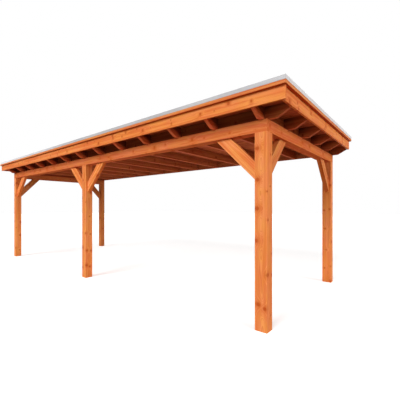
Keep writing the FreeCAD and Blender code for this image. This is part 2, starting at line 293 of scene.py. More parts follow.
knots_tree, b, into, out = new_group(
    "Branch knots",
    [("Place", VECTOR, None), ("Share", NUMBER, 0.6), ("Size", NUMBER, 1.0)],
    [("Knot", NUMBER), ("Halo", NUMBER), ("Push", NUMBER)],
)
axes = b.node("ShaderNodeSeparateXYZ", {"Vector": into["Place"]}).outputs
angle = b.math("ARCTAN2", axes["Y"], axes["X"])
radius = b.hypot(axes["X"], axes["Y"])
turn = b.math("MULTIPLY", angle, BRANCHES_PER_TURN / math.tau)
rise = b.math("DIVIDE", axes["Z"], WHORL_GAP)
spread = b.node("ShaderNodeCombineXYZ", {"X": turn, "Y": rise}).outputs[0]
cells = b.node("ShaderNodeTexVoronoi", {"Vector": spread, "Scale": 1.0, "Randomness": SCATTER},
               voronoi_dimensions="2D")
middle = b.node("ShaderNodeSeparateXYZ", {"Vector": cells.outputs["Position"]}).outputs
lot = b.node("ShaderNodeSeparateColor", {"Color": cells.outputs["Color"]}).outputs
across = b.math("MULTIPLY", b.math("SUBTRACT", turn, middle["X"]), math.tau / BRANCHES_PER_TURN)
across = b.math("MULTIPLY", across, radius)
along = b.math("MULTIPLY", b.math("SUBTRACT", rise, middle["Y"]), WHORL_GAP)
away = b.hypot(across, along)
wobble = b.math("SUBTRACT", b.noise(into["Place"], WOBBLE_WAVES), 0.5)
away = b.weighted(away, (wobble, WOBBLE))
reach = b.weighted(KNOT_AT_HEART, (radius, KNOT_GROWTH))
reach = b.math("MULTIPLY", reach, b.smooth(lot["Green"], 0.0, 1.0, *SIZE_SPREAD))
reach = b.math("MULTIPLY", reach, into["Size"])
there = b.math("LESS_THAN", lot["Red"], into["Share"])
inside = b.smooth(b.math("DIVIDE", away, reach), *KNOT_EDGE, 1.0, 0.0)
halo = b.smooth(b.math("DIVIDE", away, reach), *HALO_EDGE, 1.0, 0.0)
fade = b.math("DIVIDE", away, b.math("MULTIPLY", reach, PUSH_REACH))
fade = b.math("EXPONENT", b.math("MULTIPLY", b.math("MULTIPLY", fade, fade), -1.0))
b.feed(out["Knot"], b.math("MULTIPLY", inside, there))
b.feed(out["Halo"], b.math("MULTIPLY", halo, there))
b.feed(out["Push"], b.math("MULTIPLY", b.math("MULTIPLY", fade, reach), there))

# %% [markdown]
# Growth rings. A sawn face cuts through the yearly rings, which show as lines near its edges and as long
# flames in its middle. The distance to the heart, bent a little by a slow noise, gives both of them and
# the end grain too, so one sum serves all the faces. Knots push the rings aside.

# %% Group: growth rings
BEND_WAVES = (5.0, 5.0, 0.9)
BEND_REACH = (0.034, 0.034, 0.0)
YEAR_WAVES = 40.0
YEAR_SHIFT = 3.0
LATE_WOOD_RISE = (0.45, 0.92)
LATE_WOOD_END = (0.94, 1.0)
BAND_WAVES = 62.0
BAND_EDGE = (0.32, 0.68)

rings_tree, b, into, out = new_group(
    "Growth rings",
    [("Place", VECTOR, None), ("Push", NUMBER, 0.0), ("Ring width", NUMBER, 0.005)],
    [("Late wood", NUMBER), ("Bands", NUMBER)],
)
bend = b.vector("SUBTRACT", b.noise(into["Place"], BEND_WAVES, 1.0, "Color"), (0.5, 0.5, 0.5))
bent = b.vector("ADD", into["Place"], b.vector("MULTIPLY", bend, BEND_REACH))
axes = b.node("ShaderNodeSeparateXYZ", {"Vector": bent}).outputs
radius = b.math("ADD", b.hypot(axes["X"], axes["Y"]), into["Push"])
years = b.noise_line(radius, YEAR_WAVES, 1.0)
phase = b.weighted(b.math("DIVIDE", radius, into["Ring width"]), (years, YEAR_SHIFT))
part = b.math("FRACT", phase)
late = b.math("MULTIPLY", b.smooth(part, *LATE_WOOD_RISE), b.smooth(part, *LATE_WOOD_END, 1.0, 0.0))
b.feed(out["Late wood"], late)
b.feed(out["Bands"], b.smooth(b.noise_line(radius, BAND_WAVES, 2.0), *BAND_EDGE))

# %% [markdown]
# Fibre. Planed softwood has fine streaks along its length, and the stain takes unevenly in broad ones.
# Both are noise that is stretched along the timber: hundreds of waves to the metre across it, few along.

# %% Group: fibre streaks
FINE_WAVES = (420, 420, 7)
BROAD_WAVES = (34, 34, 0.9)
BROAD_EDGE = (0.30, 0.70)
CLOUD_WAVES = (7, 7, 1.6)
CLOUD_EDGE = (0.32, 0.68)

fibre_tree, b, into, out = new_group(
    "Fibre streaks",
    [("Place", VECTOR, None)],
    [("Fine", NUMBER), ("Broad", NUMBER), ("Cloud", NUMBER)],
)
b.feed(out["Fine"], b.noise(into["Place"], FINE_WAVES, 3.0))
b.feed(out["Broad"], b.smooth(b.noise(into["Place"], BROAD_WAVES), *BROAD_EDGE))
b.feed(out["Cloud"], b.smooth(b.noise(into["Place"], CLOUD_WAVES), *CLOUD_EDGE))

# %% [markdown]
# Painted shade on undersides: faces that look down get a darker colour, as the shade under the roof
# would give them. This mask is 1 on faces that look down and 0 on upright ones.

# %% Group: painted underside shade
DOWNWARD_EDGE = (-0.85, -0.15)

shelter_tree, b, into, out = new_group("Painted underside shade", [], [("Under", NUMBER)])
facing = b.node("ShaderNodeNewGeometry").outputs["Normal"]
downward = b.node("ShaderNodeSeparateXYZ", {"Vector": facing}).outputs["Z"]
b.feed(out["Under"], b.smooth(downward, *DOWNWARD_EDGE, 1.0, 0.0))

# %% [markdown]
# The stained timber itself. One function makes a material for each kind of timber, with its own pale and
# rich tone. It lays the wood's streaks first, then its rings and knots, then painted shade on the undersides
# and, for some finishes, painted light or shade on the upright faces, and last the lighter arrises: partly
# wear, where a planed arris takes less stain, and partly a painted highlight. Each timber also has a tone
# of its own, which on some pieces also carries painted light or shade.

# %% Timber material
UNDERSIDE_SHADE = (0.78, 0.52, 0.36, 1)
ROSY = (1.0, 0.96, 1.07, 1)
GOLDEN = (1.0, 1.045, 0.88, 1)
WARMTH_WAVES = (13, 13, 4.5)
WARMTH_EDGE = (0.38, 0.62)
RICH_EDGE = (0.22, 0.78)
STREAK_EDGE = (0.35, 0.75)
BANDS_WEIGHT = 0.40
BROAD_WEIGHT = 0.34
CLOUD_WEIGHT = 0.26
RINGS_SHOW = 0.45
STREAKS_SHOW = 0.25
HALOS_SHOW = 0.45
CUTS_SHOW = 0.25
WEAR_AND_HIGHLIGHT_SHARE = (0.2, 0.6)
WEAR_AND_HIGHLIGHT_LIGHTER = 1.10
DEEPEST_TONE = 0.22
PLANED_ROUGHNESS = 0.44
FIBRE_ROUGHER = 0.22
CUT_ROUGHER = 0.20
FIBRE_HEIGHT = 0.6
RING_HEIGHT = 0.4
KNOT_HEIGHT = 0.5
WOOD_RELIEF = 0.35
WOOD_DEPTH = 0.0006


def toned(colour, factor):
    return [min(1.0, c * factor) for c in colour[:3]] + [1.0]


def timber_material(name, pale, rich, late, knot, ring_width=0.005, knot_share=0.55, knot_size=1.0,
                    knot_depth=0.85, satin=0.04, upright_shading=WHITE, underside_shading=UNDERSIDE_SHADE):
    material, b, shader = new_material(name)
    place = b.node("ShaderNodeAttribute", attribute_name="log_place").outputs["Vector"]
    tone = b.node("ShaderNodeAttribute", attribute_name="piece_tone").outputs["Fac"]
    arris = b.node("ShaderNodeAttribute", attribute_name="arris").outputs["Fac"]
    cut = b.node("ShaderNodeAttribute", attribute_name="cut_end").outputs["Fac"]
    knots = b.node("ShaderNodeGroup", {"Place": place, "Share": knot_share, "Size": knot_size},
                   node_tree=knots_tree).outputs
    rings = b.node("ShaderNodeGroup", {"Place": place, "Push": knots["Push"], "Ring width": ring_width},
                   node_tree=rings_tree).outputs
    fibre = b.node("ShaderNodeGroup", {"Place": place}, node_tree=fibre_tree).outputs
    under = b.node("ShaderNodeGroup", node_tree=shelter_tree).outputs["Under"]

    share = b.weighted(0.0, (rings["Bands"], BANDS_WEIGHT), (fibre["Broad"], BROAD_WEIGHT),
                       (fibre["Cloud"], CLOUD_WEIGHT))
    colour = b.mix(b.smooth(share, *RICH_EDGE), pale, rich)
    warmth = b.smooth(b.noise(place, WARMTH_WAVES), *WARMTH_EDGE)
    colour = b.mix(1.0, colour, b.mix(warmth, ROSY, GOLDEN), "MULTIPLY")
    streak = b.smooth(fibre["Fine"], *STREAK_EDGE)
    for mask, strength, deeper in ((rings["Late wood"], RINGS_SHOW, late), (streak, STREAKS_SHOW, late),
                                   (knots["Halo"], HALOS_SHOW, late), (knots["Knot"], knot_depth, knot),
                                   (cut, CUTS_SHOW, late)):
        colour = b.mix(b.math("MULTIPLY", mask, strength), colour, deeper)
    # Painted shade: downward faces take the underside shading and upright faces the upright shading.
    colour = b.mix(1.0, colour, b.mix(under, upright_shading, underside_shading), "MULTIPLY")
    # Lighter arrises: partly wear, partly a painted highlight.
    wear_and_highlight = b.math("MULTIPLY", arris, b.smooth(fibre["Cloud"], 0.0, 1.0, *WEAR_AND_HIGHLIGHT_SHARE))
    colour = b.mix(wear_and_highlight, colour, toned(pale, WEAR_AND_HIGHLIGHT_LIGHTER))
    tone = b.math("MAXIMUM", tone, DEEPEST_TONE)
    bright = b.node("ShaderNodeHueSaturation", {"Color": colour, "Value": tone})

    roughness = b.weighted(PLANED_ROUGHNESS, (fibre["Fine"], FIBRE_ROUGHER), (cut, CUT_ROUGHER))
    height = b.weighted(0.0, (fibre["Fine"], FIBRE_HEIGHT), (rings["Late wood"], RING_HEIGHT),
                        (knots["Knot"], KNOT_HEIGHT))
    dress(b, shader, bright.outputs["Color"], roughness, satin, height, WOOD_RELIEF, WOOD_DEPTH)
    return material


# %% [markdown]
# The stain is orange-brown. The darker, redder colours of the beams, joists and roof boards, which sit
# under the roof, are painted shade. Its colours were set against the photo after each render. Posts, beams,
# braces, joists, boards and fascias have a finish each. The short tails and the battens share a slot with
# other timber but have a finish of their own: the tails' is lighter on its sides and undersides as painted
# light, and the battens' is darker underneath as painted shade.

# %% Timber finishes
PALE = (0.870, 0.340, 0.108, 1)
RICH = (0.765, 0.222, 0.061, 1)
LATE = (0.600, 0.125, 0.028, 1)
KNOT = (0.460, 0.072, 0.012, 1)
SOFT_KNOT = (0.640, 0.110, 0.019, 1)

FINISH = {
    "post_timber": timber_material(
        "stained_post", PALE, RICH, LATE, KNOT, ring_width=0.0045, knot_share=0.85, knot_size=1.3),
    # Painted shade: the beam's colours are darker for the shade of the roof's edge, and darker again below.
    "beam_timber": timber_material(
        "stained_beam_painted_shade", pale=(0.75, 0.246, 0.086, 1), rich=(0.65, 0.154, 0.050, 1), late=LATE,
        knot=(0.520, 0.090, 0.016, 1), ring_width=0.0055, knot_share=0.6, knot_size=1.5, knot_depth=0.8,
        satin=0.0, underside_shading=(0.85, 0.70, 0.72, 1)),
    "brace_timber": timber_material(
        "stained_brace", pale=(1.0, 0.410, 0.135, 1), rich=(0.84, 0.220, 0.055, 1), late=LATE,
        knot=SOFT_KNOT, ring_width=0.006, knot_share=0.12, knot_size=1.2, knot_depth=0.7),
    # Painted shade: the joists' colours are deeper under the roof, with painted shading on sides and
    # undersides.
    "joist_timber": timber_material(
        "stained_joist", pale=(0.96, 0.270, 0.098, 1), rich=(0.74, 0.160, 0.049, 1),
        late=(0.54, 0.100, 0.028, 1), knot=KNOT, ring_width=0.0045, satin=0.0,
        upright_shading=(0.64, 0.76, 0.84, 1), underside_shading=(0.68, 0.72, 1.15, 1)),
    # Painted shade: the boards are only seen from below, under the roof, so their colours are darkened.
    "deck_boards": timber_material(
        "stained_boards_painted_shade", pale=(0.54, 0.138, 0.054, 1), rich=(0.36, 0.078, 0.032, 1),
        late=(0.23, 0.046, 0.020, 1), knot=toned(KNOT, 0.5), ring_width=0.004, satin=0.0, underside_shading=WHITE),
    "fascia_timber": timber_material(
        "stained_fascia", pale=(0.90, 0.345, 0.096, 1), rich=(0.76, 0.195, 0.048, 1), late=LATE,
        knot=(0.500, 0.080, 0.014, 1), ring_width=0.0045, knot_share=0.8, knot_size=1.75),
}
# Painted light: a copy of the joist finish with lighter sides and undersides on the tails.
TAIL_PAINTED_LIGHT_FINISH = timber_material(
    "stained_tail_painted_light", pale=(0.98, 0.270, 0.098, 1), rich=(0.80, 0.170, 0.050, 1), late=(0.60, 0.110, 0.028, 1),
    knot=KNOT, ring_width=0.0045, satin=0.0, upright_shading=(1.06, 1.02, 1.12, 1), underside_shading=(0.86, 0.86, 1.10, 1))
# Painted shade: the battens' undersides are darkened.
BATTEN_PAINTED_SHADE_FINISH = timber_material(
    "stained_batten_painted_shade", pale=(0.88, 0.350, 0.116, 1), rich=(0.75, 0.200, 0.062, 1), late=LATE, knot=SOFT_KNOT,
    ring_width=0.0045, knot_share=0.30, knot_depth=0.6, underside_shading=(0.70, 0.36, 0.16, 1))
print(len(FINISH) + 2, "timber finishes")

# %% [markdown]
# Every timber here is a plank in the widest sense: an outline, seen from one side, with a thickness.
# Posts, beams, braces, joists and boards differ in their outline only, so one function makes them all.
# It works in the timber's own axes, length first, and then puts the plank in its place.
# Two bevels follow the real work: the planer rounds the long arrises, and the saw leaves the ends crisp.
# Each vertex also keeps where it lies in the log, and each face whether it is an arris or a sawn end.

# %% Plank maker
ARRIS = 0.0035
SAWN_EASE = 0.0008
ARRIS_STEPS = 3
ALONG = 0.999
END_LEAN = 0.3
SAME_FACE = 0.9999
LOG_LENGTH = 40
draw = random.Random(11)


class PlankPile:
    """Planks that become one piece."""

    def __init__(self):
        self.bm = bmesh.new()
        self.placed = self.bm.verts.layers.int.new("placed")
        self.log_place = self.bm.verts.layers.float_vector.new("log_place")
        self.tone = self.bm.verts.layers.float.new("piece_tone")
        self.arris = self.bm.faces.layers.float.new("arris")
        self.cut = self.bm.faces.layers.float.new("cut_end")

    def is_fresh(self, thing):
        corners = [thing] if isinstance(thing, bmesh.types.BMVert) else thing.verts
        return not any(vert[self.placed] for vert in corners)

    def fresh(self, things):
        """The vertices, edges or faces that belong to the plank now in the making."""
        return [thing for thing in things if self.is_fresh(thing)]

    def add(self, outline, thickness, to_world, heart, tone, arris=ARRIS, shelter=None):
        """Add a plank, drawn as points (along, across) in metres.

        heart is the place of the log's heart, seen from the middle of the plank's section.
        shelter gives how much the tone falls at a place (along, across), as painted shade.
        """
        bm = self.bm
        low = [bm.verts.new((s, t, 0)) for s, t in outline]
        high = [bm.verts.new((s, t, thickness)) for s, t in outline]
        faces = [bm.faces.new(list(reversed(low))), bm.faces.new(high)]
        for index in range(len(outline)):
            after = (index + 1) % len(outline)
            faces.append(bm.faces.new((low[index], low[after], high[after], high[index])))
        for face in faces:
            face.normal_update()
        flat_normals = [f.normal.copy() for f in faces]
        runs = [edge for edge in self.fresh(bm.edges)
                if abs((edge.verts[1].co - edge.verts[0].co).normalized().x) > ALONG]
        bmesh.ops.bevel(bm, geom=runs, offset=arris, segments=ARRIS_STEPS, profile=0.5, affect="EDGES",
                        clamp_overlap=True)
        ends = [f for f in self.fresh(bm.faces) if abs(f.normal.x) > END_LEAN]
        rims = list(dict.fromkeys(e for f in ends for e in f.edges))
        bmesh.ops.bevel(bm, geom=rims, offset=SAWN_EASE, segments=1, profile=0.5, affect="EDGES",
                        clamp_overlap=True)
        across = [t for s, t in outline]
        middle = (max(across) + min(across)) / 2
        shift = draw.uniform(0, LOG_LENGTH)
        new_faces = self.fresh(bm.faces)
        for face in new_faces:
            face.normal_update()
            flat = any(face.normal.dot(normal) > SAME_FACE for normal in flat_normals)
            face[self.arris] = 0.0 if flat else 1.0
            face[self.cut] = 1.0 if flat and abs(face.normal.x) > END_LEAN else 0.0
            face.smooth = not flat
        for vert in self.fresh(bm.verts):
            s, t, w = vert.co
            vert[self.log_place] = (t - middle - heart[0], w - thickness / 2 - heart[1], s + shift)
            vert[self.tone] = tone * (1 - shelter(s, t)) if shelter else tone
            vert.co = to_world @ vert.co
            vert[self.placed] = 1
        for face in new_faces:
            face.normal_update()
        if sum(face.verts[0].co.dot(face.normal) * face.calc_area() for face in new_faces) < 0:
            bmesh.ops.reverse_faces(bm, faces=new_faces)

    def sort_by_place(self):
        """The bevel leaves vertices and faces in another order each run, so they are put in a fixed one."""
        for things, place in ((self.bm.verts, lambda vert: vert.co[:]),
                              (self.bm.faces, lambda face: face.calc_center_median()[:])):
            ranks = {thing: rank for rank, thing in enumerate(sorted(things, key=place))}
            things.sort(key=ranks.get)

    def finish(self, name, slot, *nodes, finish=None):
        """Turn the pile into a piece that stands for CAD nodes."""
        self.sort_by_place()
        self.bm.verts.layers.int.remove(self.placed)
        mesh = bpy.data.meshes.new(name)
        self.bm.to_mesh(mesh)
        self.bm.free()
        return show(mesh, name, slot, *nodes, finish=finish)


def show(mesh, name, slot, *nodes, finish=None):
    """Make a piece from a mesh and tie it to the frame."""
    piece = bpy.data.objects.new(name, mesh)
    bpy.context.scene.collection.objects.link(piece)
    mesh.materials.append(finish or FINISH[slot])
    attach(piece, "root")
    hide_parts(*nodes)
    return piece


def axes_at(origin, along, across):
    """The matrix from a plank's own axes to the frame: length, width, and the thickness square to both."""
    along = Vector(along).normalized()
    across = Vector(across).normalized()
    through = along.cross(across)
    turned = Matrix((along, across, through)).transposed().to_4x4()
    return Matrix.Translation(origin) @ turned


X = Vector((1, 0, 0))
Y = Vector((0, 1, 0))
Z = Vector((0, 0, 1))


def rectangle(length, width):
    return [(0, 0), (length, 0), (length, width), (0, width)]


def runs_across(node):
    """The outline, thickness and axes of an upright board along the front."""
    low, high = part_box(node)
    size = high - low
    return rectangle(size.x, size.z), size.y, axes_at(Vector((low.x, high.y, low.z)), X, Z)


def runs_back(node):
    """The outline, thickness and axes of an upright board from the front to the wall."""
    low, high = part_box(node)
    size = high - low
    return rectangle(size.y, size.z), size.x, axes_at(low, Y, Z)


def heart_inside(spread=0.025):
    """The heart of a thick timber lies near its middle."""
    return draw.uniform(-spread, spread), draw.uniform(-spread, spread)


def heart_outside(nearest=0.035, furthest=0.08, spread=0.03):
    """A plank is cut beside the heart, so its broad faces show flames."""
    side = draw.choice((-1, 1))
    return draw.uniform(-spread, spread), side * draw.uniform(nearest, furthest)


def drawn_tone(spread=0.06):
    """No two timbers take the stain quite alike."""
    return 1 + draw.uniform(-spread, spread)


def single(name, slot, node, outline, thickness, placed, heart, tone, finish=None, **cut):
    """A piece that is one plank and stands for one node."""
    pile = PlankPile()
    pile.add(outline, thickness, placed, heart, tone, **cut)
    pile.finish(f"{node}.{name}", slot, node, finish=finish)


# %% [markdown]
# The five posts are 145 mm square and carry the beams on their tops. In the photo they are planed smooth,
# with rounded corners that catch the light. Each is one plank of square section, standing on its end.

# %% Posts
# Painted shade: the rear left post is darker.
POST_PAINTED_SHADE = {"post_rear_left": 0.70}
for node in ("post_front_left", "post_front_middle", "post_front_right", "post_rear_left", "post_rear_right"):
    low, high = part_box(node)
    size = high - low
    single("timber", "post_timber", node, rectangle(size.z, size.x), size.y, axes_at(low, Z, X),
           heart_inside(), POST_PAINTED_SHADE.get(node, 1.0) * drawn_tone(spread=0.03))
print("posts are", [round(n, 3) for n in size], "m")

# %% [markdown]
# The beams lie on the posts. At each front corner a tongue of the front beam passes in front of the side
# beam, so the joint shows as one upright line on the end. The front beam's outline is drawn from above,
# with a notch at each end; the side beams are straight. Their tones are painted light and shade: the left
# beam is darkened as painted shade, the right one lightened as painted light.

# %% Beams
LAP = 0.048
SIDE_BEAM_PAINTED_LIGHT = {"left_beam": 0.88, "right_beam": 1.06}
low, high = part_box("front_beam")
size = high - low
notched = [
    (0, 0), (size.x, 0), (size.x, LAP), (size.x - size.y, LAP),
    (size.x - size.y, size.y), (size.y, size.y), (size.y, LAP), (0, LAP),
]
single("timber", "beam_timber", "front_beam", notched, size.z, axes_at(low, X, Y), heart_inside(),
       drawn_tone(spread=0.03))
for node, tone in SIDE_BEAM_PAINTED_LIGHT.items():
    single("timber", "beam_timber", node, *runs_back(node), heart_inside(), tone * drawn_tone(spread=0.03))
print("front beam is", round(size.x, 3), "m long")

# %% [markdown]
# Eight braces stiffen the frame at 45 degrees. Each is a short plank with both ends sawn to fit, flat on
# the post and flat under the beam. Its outline is drawn along the plank, so the grain runs with it.

# %% Braces
BRACE_WIDTH = 0.145
# Painted shade: the side braces are darker, the left ones most.
FRONT_TONE = 1.0
LEFT_BRACE_SHADE = 0.68
RIGHT_BRACE_SHADE = 0.80
BRACES = {
    "brace_front_left": (X, FRONT_TONE), "brace_middle_left": (-X, FRONT_TONE),
    "brace_middle_right": (X, FRONT_TONE), "brace_front_right": (-X, FRONT_TONE),
    "brace_left_side_front": (Y, LEFT_BRACE_SHADE), "brace_left_side_rear": (-Y, LEFT_BRACE_SHADE),
    "brace_right_side_front": (Y, RIGHT_BRACE_SHADE), "brace_right_side_rear": (-Y, RIGHT_BRACE_SHADE),
}
for node, (outward, tone) in BRACES.items():
    low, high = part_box(node)
    reach = high.z - low.z
    length = reach * math.sqrt(2)
    foot = (low + high) / 2 - outward * reach / 2
    foot.z = low.z
    thickness = (high - low).dot(Vector((abs(outward.y), abs(outward.x), 0)))
    placed = axes_at(foot, outward + Z, Z - outward) @ Matrix.Translation((0, 0, -thickness / 2))
    mitred = [(0, 0), (length, 0), (length - BRACE_WIDTH, BRACE_WIDTH), (BRACE_WIDTH, BRACE_WIDTH)]
    single("timber", "brace_timber", node, mitred, thickness, placed,
           heart_outside(nearest=0.03, furthest=0.05), tone * drawn_tone(spread=0.05))
print("braces are", round(length, 3), "m along their longer edge")

# %% [markdown]
# Thirteen joists run back to the wall plate. A rim closes the bays between them over the front beam, and
# seen from the front it is the dark board between the tails; its darkness is painted shade. The plate takes
# the joists at the house, and it is darkened as painted shade too.

# %% Joists, rim and wall plate
JOIST_SHADE_RISE = 2.1
RIM_SHADE = 0.44
PLATE_SHADE = 0.72
TAIL_RISE = 0.085
SIDE_SLOPE = 0.150


def joist_shelter(s, t):
    """Painted shade: the tone falls towards the boards."""
    return JOIST_SHADE_RISE * t


JOISTS = sorted(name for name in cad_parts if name.startswith("joist_"))
for node in JOISTS:
    single("timber", "joist_timber", node, *runs_back(node), heart_outside(), drawn_tone(),
           shelter=joist_shelter)
single("timber", "joist_timber", "front_rim", *runs_across("front_rim"), heart_outside(), RIM_SHADE)

low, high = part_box("wall_plate")
size = high - low
plate = [(0, TAIL_RISE), (SIDE_SLOPE, 0), (size.x - SIDE_SLOPE, 0), (size.x, TAIL_RISE),
         (size.x, size.z), (0, size.z)]
single("timber", "joist_timber", "wall_plate", plate, *runs_across("wall_plate")[1:], heart_outside(),
       PLATE_SHADE)
print(len(JOISTS), "joists, wall plate", round(size.x, 3), "m long")

# %% [markdown]
# Short planks with sloped tails carry the roof out past the beams: one in front of each joist, and a row
# of five over each end. Their tone falls upwards as painted shade, into the corner under the boards, but
# not along the slope.

# %% Tails and lookouts
FRONT_SLOPE = 0.145
TAILS = 13
TAIL_TONE = 1.05
TAIL_SHADE_RISE = 13.0
LOOKOUTS = 5
LOOKOUT_TONE = 1.05
LOOKOUT_SHADE_RISE = 6.0
joist_width = (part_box(JOISTS[0])[1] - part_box(JOISTS[0])[0]).x


def make_tails(node, inner, outward, step, number, slope, tone, depth, finish=None):
    """A row of short planks. The tone falls by depth for each metre above the lower edge, as painted shade.
    """
    low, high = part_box(node)
    length = abs((high - low).dot(outward))
    height = high.z - low.z
    tailed = [(0, 0), (length - slope, 0), (length, TAIL_RISE), (length, height), (0, height)]

    def shelter(s, t):
        return depth * (t - max(0, s - length + slope) * TAIL_RISE / slope)

    pile = PlankPile()
    for index in range(number):
        pile.add(tailed, joist_width, axes_at(inner + index * step, outward, Z), heart_outside(),
                 tone * drawn_tone(), shelter=shelter)
    pile.finish(f"{node}.timber", "joist_timber", node, finish=finish)


low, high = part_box("front_tails")
pitch = (high.x - low.x - joist_width) / (TAILS - 1)
make_tails("front_tails", Vector((low.x + joist_width, high.y, low.z)), -Y, pitch * X, TAILS, FRONT_SLOPE,
           TAIL_TONE, TAIL_SHADE_RISE, TAIL_PAINTED_LIGHT_FINISH)

low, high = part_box("lookouts_left")
pitch = (high.y - low.y - joist_width) / (LOOKOUTS - 1)
make_tails("lookouts_left", Vector((high.x, low.y, low.z)), -X, pitch * Y, LOOKOUTS, SIDE_SLOPE,
           LOOKOUT_TONE, LOOKOUT_SHADE_RISE)
low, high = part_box("lookouts_right")
make_tails("lookouts_right", Vector((low.x, low.y + joist_width, low.z)), X, pitch * Y, LOOKOUTS, SIDE_SLOPE,
           LOOKOUT_TONE, LOOKOUT_SHADE_RISE)
print(TAILS, "tails in front,", LOOKOUTS, "lookouts a side, every", round(pitch, 3), "m")

# %% [markdown]
# The roof is boarded across the joists. Seen from below, each board has a small V along its edges, and a
# course is two boards long with the joint hidden over a joist. Each board is its own plank, so the grain
# changes from board to board. One more board stands at the wall and closes the roof behind.

# %% Roof boards
COURSES = 27
BOARD_GAP = 0.0006
V_EDGE = 0.0045
JOINT_MARGIN = 4
low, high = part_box("roof_deck")
size = high - low
joist_centres = sorted((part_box(node)[0].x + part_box(node)[1].x) / 2 for node in JOISTS)
course = size.y / COURSES
pile = PlankPile()
for number in range(COURSES):
    joint = joist_centres[draw.randint(JOINT_MARGIN, len(joist_centres) - 1 - JOINT_MARGIN)]
    for start, end in ((low.x, joint - BOARD_GAP / 2), (joint + BOARD_GAP / 2, high.x)):
        at = Vector((start, low.y + number * course + BOARD_GAP / 2, low.z))
        pile.add(rectangle(end - start, course - BOARD_GAP), size.z, axes_at(at, X, Y),
                 heart_outside(nearest=0.03, furthest=0.06), drawn_tone(spread=0.10), arris=V_EDGE)
pile.finish("roof_deck.boards", "deck_boards", "roof_deck")
single("board", "deck_boards", "wall_upstand", *runs_across("wall_upstand"), heart_outside(), drawn_tone())
print(COURSES, "courses of boards,", round(course * 1000), "mm wide")

# %% [markdown]
# The fascia boards close the tails' ends, and the front one runs a little past the side ones, so its end
# grain shows at the corner. A thicker batten lies on top and stands out, which draws the dark line under
# it, and its finish darkens its underside further as painted shade. The battens meet in mitres at the
# front corners, so their outlines are drawn from above.

# %% Fascias and battens
FASCIA_TONE = {"fascia_front": 0.98, "fascia_left": 1.0, "fascia_right": 1.0}
BATTEN_TONE = 0.90
MITRE_GAP = 0.0005
for node, tone in FASCIA_TONE.items():
    placing = runs_across(node) if node == "fascia_front" else runs_back(node)
    single("board", "fascia_timber", node, *placing, heart_outside(), tone)

low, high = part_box("batten_front")
size = high - low
mitred = [(MITRE_GAP, 0), (size.x - MITRE_GAP, 0), (size.x - size.y - MITRE_GAP, size.y),
          (size.y + MITRE_GAP, size.y)]
single("timber", "fascia_timber", "batten_front", mitred, size.z, axes_at(low, X, Y), heart_outside(),
       BATTEN_TONE, BATTEN_PAINTED_SHADE_FINISH)
for node in ("batten_left", "batten_right"):
    low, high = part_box(node)
    size = high - low
    near, far = MITRE_GAP, size.x + MITRE_GAP
    if node == "batten_left":
        near, far = far, near
    outline = [(near, 0), (size.y, 0), (size.y, size.x), (far, size.x)]
    single("timber", "fascia_timber", node, outline, size.z, axes_at(Vector((high.x, low.y, low.z)), Y, -X),
           heart_outside(), BATTEN_TONE, BATTEN_PAINTED_SHADE_FINISH)
print("battens are", [round(n * 1000) for n in (size.x, size.z)], "mm")

# %% [markdown]
# Fine dust and rain marks settle on whatever lies flat and stays out of doors. The roof sheet and the
# metal trim share this effect, so it is a group: a soft mask of patches, and small specks in it.

# %% Group: settled dust
PATCH_DETAIL = 5.0
PATCH_ROUGHNESS = 0.6
PATCH_EDGE = (0.38, 0.72)
LEVEL_EDGE = (0.2, 0.95)
UPRIGHT_SHARE = 0.25
SPECK_SCALE = 160.0
SPECK_EDGE = (0.60, 0.72)

dust_tree, b, into, out = new_group(
    "Settled dust",
    [("Place", VECTOR, None), ("Patch", NUMBER, 2.0)],
    [("Dust", NUMBER), ("Specks", NUMBER)],
)
wide = b.node("ShaderNodeTexNoise", {"Vector": into["Place"], "Scale": into["Patch"],
                                     "Detail": PATCH_DETAIL, "Roughness": PATCH_ROUGHNESS}).outputs["Fac"]
up = b.node("ShaderNodeNewGeometry").outputs["Normal"]
level_face = b.smooth(b.node("ShaderNodeSeparateXYZ", {"Vector": up}).outputs["Z"], *LEVEL_EDGE)
settles = b.smooth(level_face, 0, 1, UPRIGHT_SHARE, 1.0)
b.feed(out["Dust"], b.math("MULTIPLY", b.smooth(wide, *PATCH_EDGE), settles))
fine = b.node("ShaderNodeTexNoise", {"Vector": into["Place"], "Scale": SPECK_SCALE, "Detail": 2.0})
b.feed(out["Specks"], b.smooth(fine.outputs["Fac"], *SPECK_EDGE))

# %% [markdown]
# The roof sheet is black rubber, matt and a little dusty. The trim is plain aluminium with the faint
# lines of its rolling along each length. Neither is a single colour: the dust changes tone and gloss.

# %% Roof sheet and trim finishes
RUBBER = (0.030, 0.031, 0.034, 1)
RUBBER_DUST = (0.120, 0.115, 0.105, 1)
RUBBER_SPECKS = (0.20, 0.19, 0.17, 1)
RUBBER_GRAIN = (900, 900, 900)
RUBBER_ROUGHNESS = (0.80, 0.92)
RUBBER_PATCH = 1.4
RUBBER_DUSTY = 0.55
RUBBER_SPECKLED = 0.30
METAL_DARK = (0.38, 0.385, 0.405, 1)
METAL_LIGHT = (0.47, 0.475, 0.495, 1)
METAL_LINES = (0.39, 0.39, 0.40, 1)
METAL_DUST = (0.30, 0.30, 0.29, 1)
ROLLING_LINES = (900, 900, 2.0)
METAL_CLOUDS = (9, 9, 1.2)
METAL_CLOUD_EDGE = (0.3, 0.7)
METAL_PATCH = 3.0
METAL_LINED = 0.20
METAL_DUSTY = 0.25
METAL_ROUGHNESS = 0.42
LINES_ROUGHER = 0.14
DUST_ROUGHER = 0.22
METALLIC = 0.12


